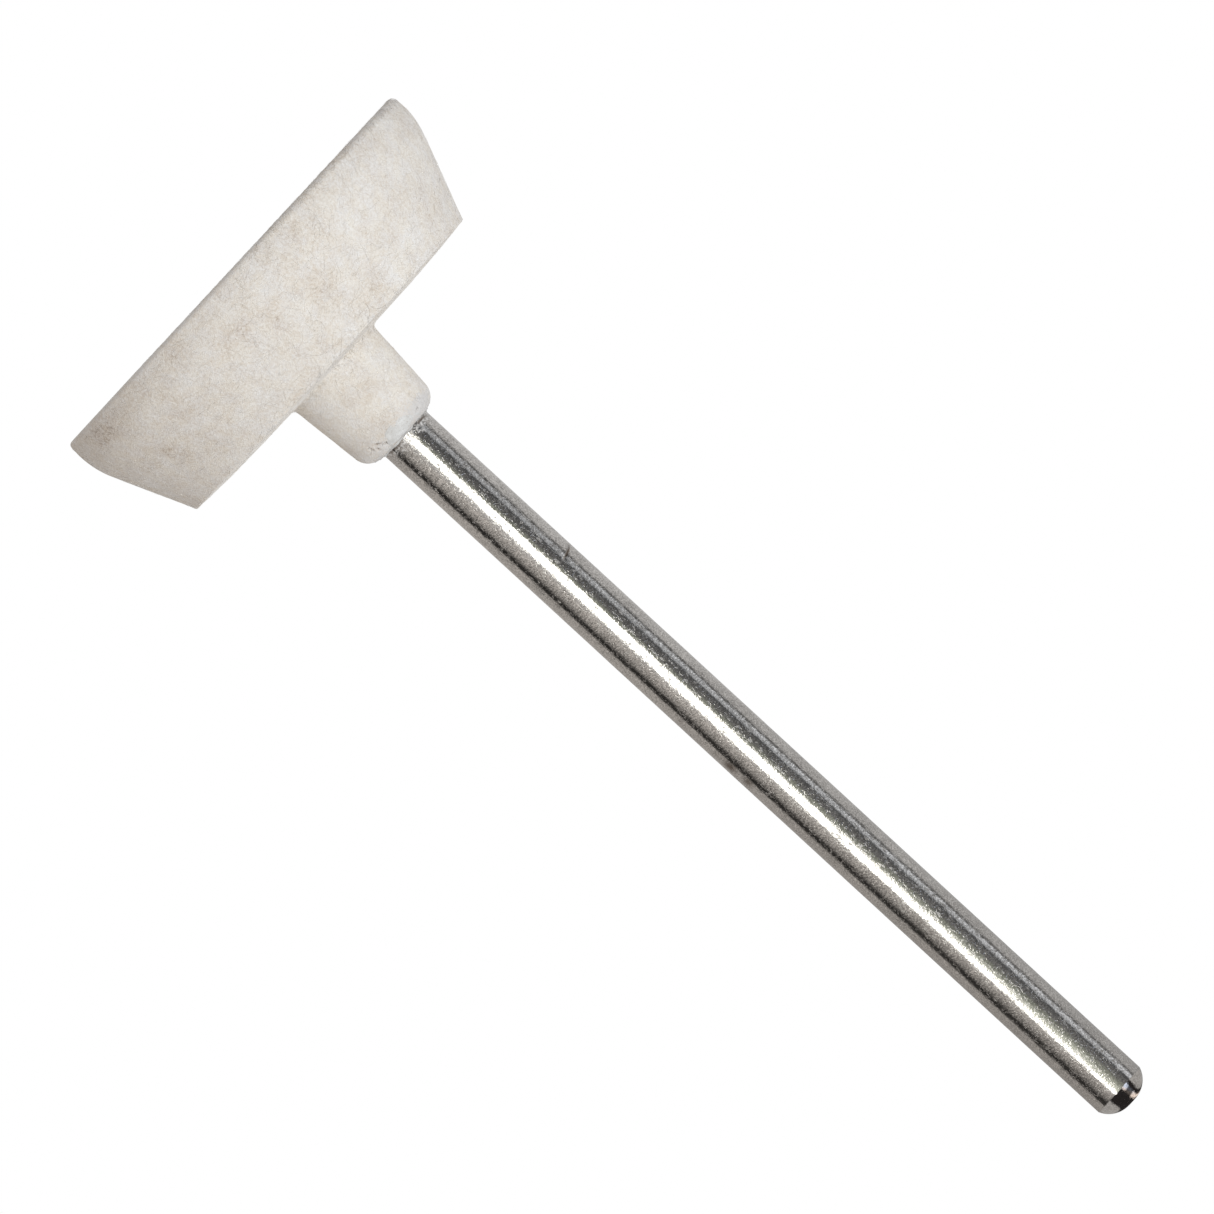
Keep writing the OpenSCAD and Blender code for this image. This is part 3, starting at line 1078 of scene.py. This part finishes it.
def key_light():
    """A large soft light in front, a little towards -X."""
    data = bpy.data.lights.new("key", "AREA")
    data.shape = "DISK"
    data.size = KEY_WIDTH
    data.energy = KEY_POWER
    data.color = KEY_COLOUR
    lamp = show("key", data)
    aim = Vector((0, 0, HEAD_H * MM / 2))
    direction = towards(*KEY_AT)
    lamp.location = aim + KEY_DISTANCE * direction
    lamp.rotation_euler = direction.to_track_quat("Z", "Y").to_euler()
    lamp.visible_camera = False
    lamp.visible_glossy = False


# The card's outline: height, and the angles round the shank between which the shank's face
# towards the lens mirrors it there
CARD_DISTANCE = 120.0
CARD_EDGES = [
    (-40, 14.0, -11.2), (11, 14.0, -11.2), (19, 13.8, -16.0), (27, 11.5, -20.0),
    (34, 7.2, -22.5), (40, 1.5, -23.5), (45, -6.0, -24.0), (49, -12.0, -24.0),
    (54, -13.5, -25.0), (90, -13.5, -25.0),
]
CARD_COLOUR = (1, 1, 0.95, 1)
CARD_GLOW = 3.0


def highlight_card():
    """A slanted white card near the lens. Only the plating mirrors it, as its bright streak."""
    points = []
    for height, *angles in CARD_EDGES:
        for angle in angles:
            points.append((-CARD_DISTANCE * math.tan(math.radians(angle)), -CARD_DISTANCE, height))
    faces = [[2 * i, 2 * i + 1, 2 * i + 3, 2 * i + 2] for i in range(len(CARD_EDGES) - 1)]
    mesh = bpy.data.meshes.new("highlight_card")
    mesh.from_pydata((np.array(points) * MM).tolist(), [], faces)
    material, _, shader = new_material("card_light")
    material.cycles.emission_sampling = "NONE"
    set_inputs(shader, {
        "Base Color": (0, 0, 0, 1),
        "Specular IOR Level": 0,
        "Emission Color": CARD_COLOUR,
        "Emission Strength": CARD_GLOW,
    })
    mesh.materials.append(material)
    card = show("highlight_card", mesh)
    card.visible_camera = False
    card.visible_diffuse = False
    card.visible_shadow = False
    card.visible_transmission = False


FLOOR_R = 250.0
FLOOR_SIDES = 96
FLOOR_FADE = (70.0, 220.0)
FLOOR_MOTTLE = 9.0
FLOOR_GREYS = ((0.54, 0.54, 0.54), (0.56, 0.56, 0.56))
# The floor glows a little and lets some of the white backdrop through to the camera
FLOOR_GLOW = 0.05
FLOOR_VEIL = 0.5


def floor():
    """A pale round table top that fades into the white backdrop. It lets the room's light reach
    the object from below, as a white table would throw it back, and the plating doesn't mirror
    it."""
    angles = np.arange(FLOOR_SIDES) * 2 * math.pi / FLOOR_SIDES
    rim = np.stack([np.cos(angles), np.sin(angles), 0 * angles], axis=1) * FLOOR_R * MM
    mesh = bpy.data.meshes.new("floor")
    mesh.from_pydata(rim.tolist(), [], [list(range(FLOOR_SIDES))])
    material, tree, shader = new_material("pale_floor")
    where = surface_mm(tree)
    far = tree.nodes.new("ShaderNodeVectorMath")
    far.operation = "LENGTH"
    tree.links.new(where, far.inputs[0])
    fade = spread(tree, far.outputs["Value"], *FLOOR_FADE)
    path = tree.nodes.new("ShaderNodeLightPath")
    camera_ray, diffuse_ray, glossy_ray = (
        path.outputs[f"Is {kind} Ray"] for kind in ("Camera", "Diffuse", "Glossy")
    )
    veil = maths(tree, "MULTIPLY", camera_ray, FLOOR_VEIL)
    unseen = maths(tree, "MAXIMUM", diffuse_ray, glossy_ray)
    gone = maths(tree, "MAXIMUM", maths(tree, "MAXIMUM", fade, veil), unseen)
    paper = mix(tree, grain(tree, where, FLOOR_MOTTLE, 3.0), *FLOOR_GREYS)
    tree.links.new(paper, shader.inputs["Base Color"])
    set_inputs(shader, {
        "Emission Color": (*WHITE, 1),
        "Emission Strength": FLOOR_GLOW,
        "Roughness": 0.9,
        "Specular IOR Level": 0.1,
    })
    clear = tree.nodes.new("ShaderNodeBsdfTransparent")
    blend = tree.nodes.new("ShaderNodeMixShader")
    for socket, value in zip(blend.inputs, (gone, shader.outputs[0], clear.outputs[0])):
        tree.links.new(value, socket)
    tree.links.new(blend.outputs[0], tree.nodes["Material Output"].inputs["Surface"])
    mesh.materials.append(material)
    made = show("floor", mesh)


# The camera stands level with the working face and looks a little up at the shank's middle.
# It is rolled so that the shank points to the right and down.
CAMERA_DISTANCE = 900.0
CAMERA_AIM = (-0.338, 0.0, 19.47)
CAMERA_ROLL = 42.59
CAMERA_LENS = 693.9
CAMERA_SENSOR = 36.0
# The nearest and furthest that it sees, in metres
CAMERA_CLIP = (0.05, 10)


def camera():
    """The camera, at the photograph's angle."""
    data = bpy.data.cameras.new("camera")
    data.sensor_width = CAMERA_SENSOR
    data.lens = CAMERA_LENS
    data.clip_start, data.clip_end = CAMERA_CLIP
    lens = show("camera", data)
    aim = Vector(CAMERA_AIM) * MM
    place = Vector((CAMERA_AIM[0], -CAMERA_DISTANCE, 0)) * MM
    back = (place - aim).normalized()
    across = Vector((1, 0, 0))
    upright = back.cross(across)
    roll = math.radians(CAMERA_ROLL)
    right = math.cos(roll) * upright - math.sin(roll) * across
    up = back.cross(right)
    turned = Matrix((right, up, back)).transposed().to_4x4()
    lens.matrix_world = Matrix.Translation(place) @ turned
    bpy.context.scene.camera = lens


# ---------------------------------------------------------------- build
# The fibres' pieces: name, number of fibres, the part of the head's outline that they lie on, as
# shares of its length, and seed
WOOL = [
    ("felt_fibres_face", 3000, 0.02, 0.30, 11),
    ("felt_fibres_rim_a", 7000, 0.30, 0.60, 12),
    ("felt_fibres_rim_b", 7000, 0.30, 0.60, 13),
    ("felt_fibres_back", 7400, 0.60, 1.0, 14),
]

wool = fibre_material()
felt_head(felt_material())
for part in WOOL:
    felt_fibres(*part, wool)
mandrel(steel_material())
glue(glue_material())

camera()
room()
key_light()
highlight_card()
floor()
bpy.context.scene.view_settings.view_transform = "Standard"
